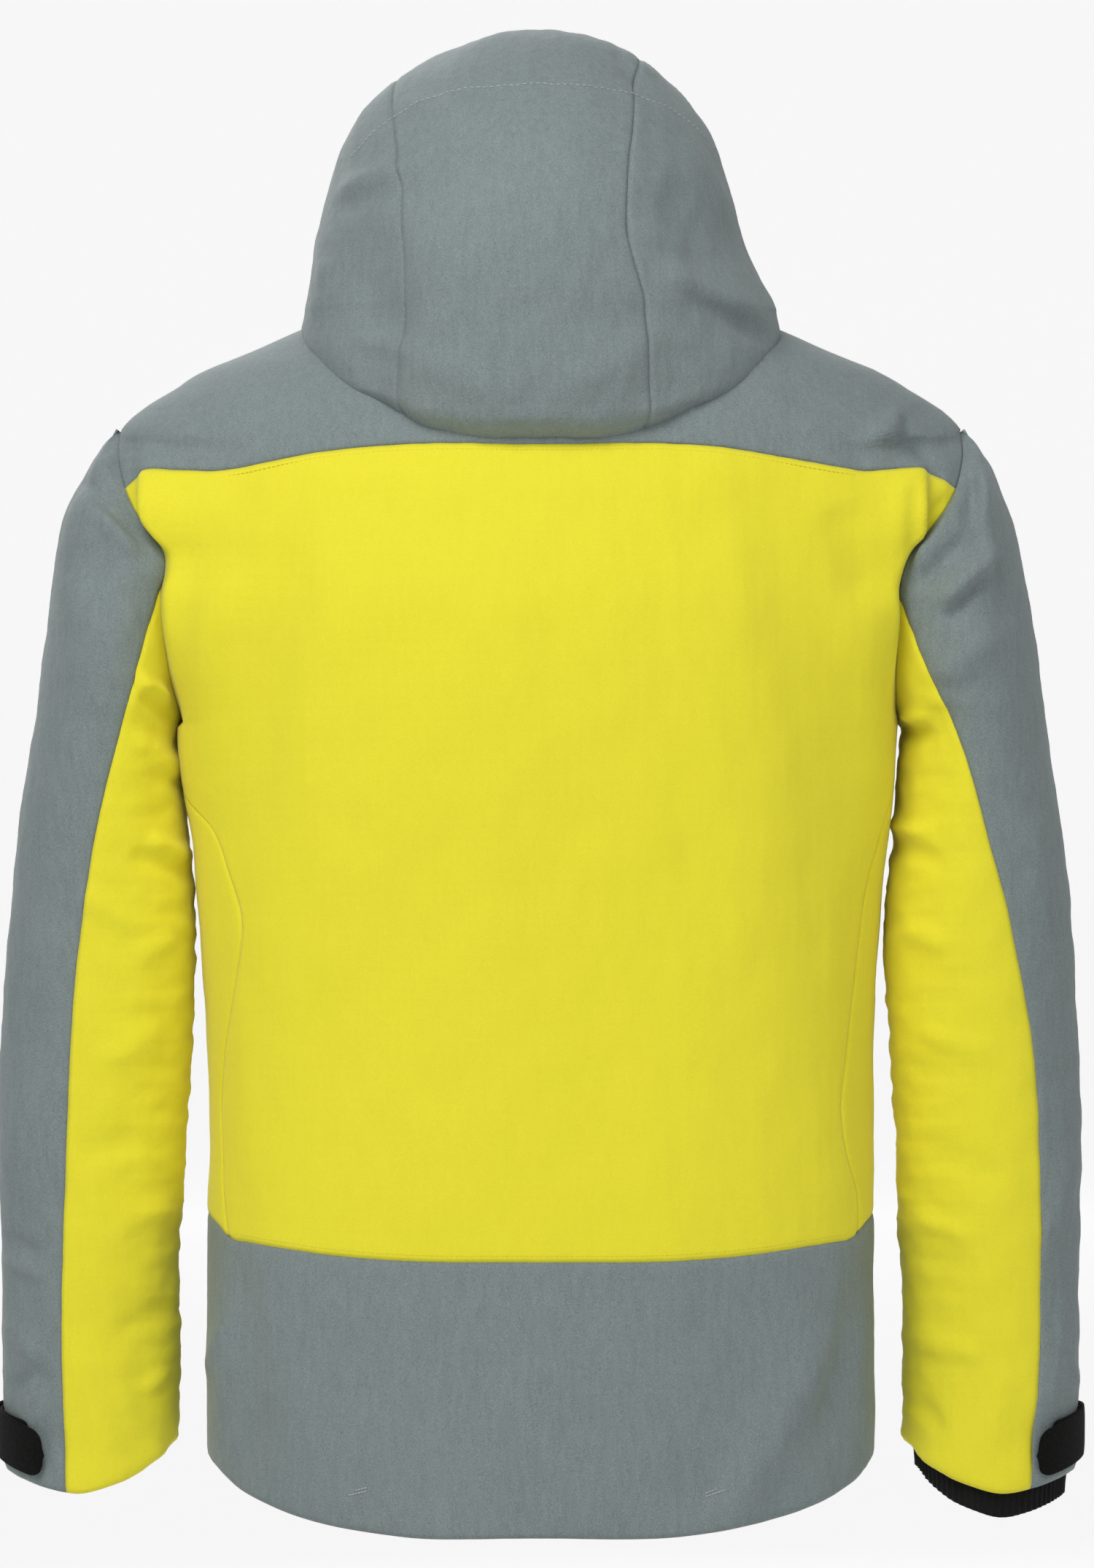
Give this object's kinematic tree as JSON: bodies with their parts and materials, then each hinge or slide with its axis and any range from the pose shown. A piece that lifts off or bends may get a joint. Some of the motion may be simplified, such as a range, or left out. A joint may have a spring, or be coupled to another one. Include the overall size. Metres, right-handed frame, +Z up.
{
  "type": "ski jacket",
  "caption": "Hooded ski jacket in two colours with a front zip, zipped pockets, cuff straps, wrist gaiters and a dropped back hem.",
  "frame": {"origin": "middle of the hanger loop inside the back of the neck", "axes": "+Z up along the back, +Y towards the back, +X towards the wearer's left"},
  "size_m": [0.7132, 0.3067, 0.974],
  "materials": {
    "grey_shell": "matt heathered twill",
    "yellow_shell": "matt twill",
    "lining": "smooth taffeta",
    "knit": "ribbed knit",
    "cord": "woven strap and braid",
    "loop_pile": "hook-and-loop pile",
    "zip_tape": "woven tape with moulded teeth",
    "moulded": "satin moulding",
    "metal": "satin cast"
  },
  "bodies": {
    "root": {"back_hem_panel": "grey_shell", "back_panel": "yellow_shell", "back_yoke": "grey_shell", "side_panel_left": "yellow_shell", "front_hem_left": "grey_shell", "front_panel_left": "yellow_shell", "front_yoke_left": "grey_shell", "side_panel_right": "yellow_shell", "front_hem_right": "grey_shell", "front_panel_right": "yellow_shell", "front_yoke_right": "grey_shell", "collar": "grey_shell", "body_lining": "lining", "powder_skirt": "lining", "storm_flap": "lining", "front_zip_left": "zip_tape", "front_zip_right": "zip_tape", "front_zip_box": "metal", "hand_pocket_zip_left": "zip_tape", "hand_pocket_zip_right": "zip_tape", "chest_pocket_zip": "zip_tape", "hem_cord": "cord", "hem_cord_lock_left": "moulded", "hem_cord_lock_right": "moulded", "hanger_loop": "cord"},
    "hood": {"hood_centre_panel": "grey_shell", "hood_brim": "grey_shell", "hood_side_left": "grey_shell", "hood_side_right": "grey_shell", "hood_lining": "lining", "hood_cord_lock_left": "moulded", "hood_cord_lock_right": "moulded"},
    "sleeve_left": {"sleeve_outer_panel_left": "grey_shell", "sleeve_inner_panel_left": "yellow_shell", "sleeve_lining_left": "lining", "wrist_gaiter_left": "knit", "cuff_loop_patch_left": "loop_pile", "pass_pocket_zip": "zip_tape"},
    "tab_left": {"cuff_tab_left": "loop_pile"},
    "hem_button_left": {"hem_lock_button_left": "moulded"},
    "hood_button_left": {"hood_lock_button_left": "moulded"},
    "sleeve_right": {"sleeve_outer_panel_right": "grey_shell", "sleeve_inner_panel_right": "yellow_shell", "sleeve_lining_right": "lining", "wrist_gaiter_right": "knit", "cuff_loop_patch_right": "loop_pile"},
    "tab_right": {"cuff_tab_right": "loop_pile"},
    "hem_button_right": {"hem_lock_button_right": "moulded"},
    "hood_button_right": {"hood_lock_button_right": "moulded"},
    "front_slider": {"front_slider": "metal"},
    "front_pull": {"front_pull": "moulded"},
    "hand_pocket_left_slider": {"hand_pocket_left_slider": "metal"},
    "hand_pocket_left_pull": {"hand_pocket_left_pull": "moulded"},
    "hand_pocket_right_slider": {"hand_pocket_right_slider": "metal"},
    "hand_pocket_right_pull": {"hand_pocket_right_pull": "moulded"},
    "chest_pocket_slider": {"chest_pocket_slider": "metal"},
    "chest_pocket_pull": {"chest_pocket_pull": "moulded"},
    "pass_pocket_slider": {"pass_pocket_slider": "metal"},
    "pass_pocket_pull": {"pass_pocket_pull": "moulded"}
  },
  "joints": [
    {"name": "hood_fold", "type": "hinge", "parent": "root", "child": "hood", "pos_m": [0, 0.09, -0.107], "axis": [-1, 0, 0], "range_deg": [0, 75]},
    {"name": "sleeve_left_lift", "type": "hinge", "parent": "root", "child": "sleeve_left", "pos_m": [0.27, -0.045, -0.092], "axis": [0, -1, 0], "range_deg": [0, 80]},
    {"name": "sleeve_right_lift", "type": "hinge", "parent": "root", "child": "sleeve_right", "pos_m": [-0.27, -0.045, -0.092], "axis": [0, 1, 0], "range_deg": [0, 80]},
    {"name": "cuff_tab_left_peel", "type": "hinge", "parent": "sleeve_left", "child": "tab_left", "pos_m": [0.32556, -0.10806, -0.749], "axis": [0, 0, -1], "range_deg": [0, 120]},
    {"name": "cuff_tab_right_peel", "type": "hinge", "parent": "sleeve_right", "child": "tab_right", "pos_m": [-0.32556, -0.10806, -0.749], "axis": [0, 0, 1], "range_deg": [0, 120]},
    {"name": "front_slider_travel", "type": "slide", "parent": "root", "child": "front_slider", "axis": [0, -0.045, -0.999], "range_m": [0, 0.78]},
    {"name": "front_pull_swing", "type": "hinge", "parent": "front_slider", "child": "front_pull", "pos_m": [0, -0.17138, 0.02924], "axis": [-1, 0, 0], "range_deg": [0, 150]},
    {"name": "hand_pocket_left_slider_travel", "type": "slide", "parent": "root", "child": "hand_pocket_left_slider", "axis": [0.1833, 0.051, -0.9817], "range_m": [0, 0.1288]},
    {"name": "hand_pocket_left_pull_swing", "type": "hinge", "parent": "hand_pocket_left_slider", "child": "hand_pocket_left_pull", "pos_m": [0.14386, -0.17473, -0.42734], "axis": [-0.9139, -0.3623, -0.1832], "range_deg": [0, 150]},
    {"name": "hand_pocket_right_slider_travel", "type": "slide", "parent": "root", "child": "hand_pocket_right_slider", "axis": [-0.1833, 0.051, -0.9817], "range_m": [0, 0.1288]},
    {"name": "hand_pocket_right_pull_swing", "type": "hinge", "parent": "hand_pocket_right_slider", "child": "hand_pocket_right_pull", "pos_m": [-0.14386, -0.17473, -0.42734], "axis": [-0.9139, 0.3622, 0.1832], "range_deg": [0, 150]},
    {"name": "chest_pocket_slider_travel", "type": "slide", "parent": "root", "child": "chest_pocket_slider", "axis": [0, -0.0473, -0.9989], "range_m": [0, 0.1041]},
    {"name": "chest_pocket_pull_swing", "type": "hinge", "parent": "chest_pocket_slider", "child": "chest_pocket_pull", "pos_m": [0.09291, -0.17764, -0.18874], "axis": [-0.9854, -0.1702, 0], "range_deg": [0, 150]},
    {"name": "pass_pocket_slider_travel", "type": "slide", "parent": "sleeve_left", "child": "pass_pocket_slider", "axis": [0, -0.0045, -1], "range_m": [0, 0.076]},
    {"name": "pass_pocket_pull_swing", "type": "hinge", "parent": "pass_pocket_slider", "child": "pass_pocket_pull", "pos_m": [0.30063, -0.11971, -0.59698], "axis": [-0.9949, -0.1005, 0], "range_deg": [0, 150]},
    {"name": "hem_button_left_press", "type": "slide", "parent": "root", "child": "hem_button_left", "axis": [0, 0, -1], "range_m": [0, 0.003], "stiffness_N_per_m": 1200},
    {"name": "hood_button_left_press", "type": "slide", "parent": "hood", "child": "hood_button_left", "axis": [0, 0, -1], "range_m": [0, 0.003], "stiffness_N_per_m": 1200},
    {"name": "hem_button_right_press", "type": "slide", "parent": "root", "child": "hem_button_right", "axis": [0, 0, -1], "range_m": [0, 0.003], "stiffness_N_per_m": 1200},
    {"name": "hood_button_right_press", "type": "slide", "parent": "hood", "child": "hood_button_right", "axis": [0, 0, -1], "range_m": [0, 0.003], "stiffness_N_per_m": 1200}
  ]
}
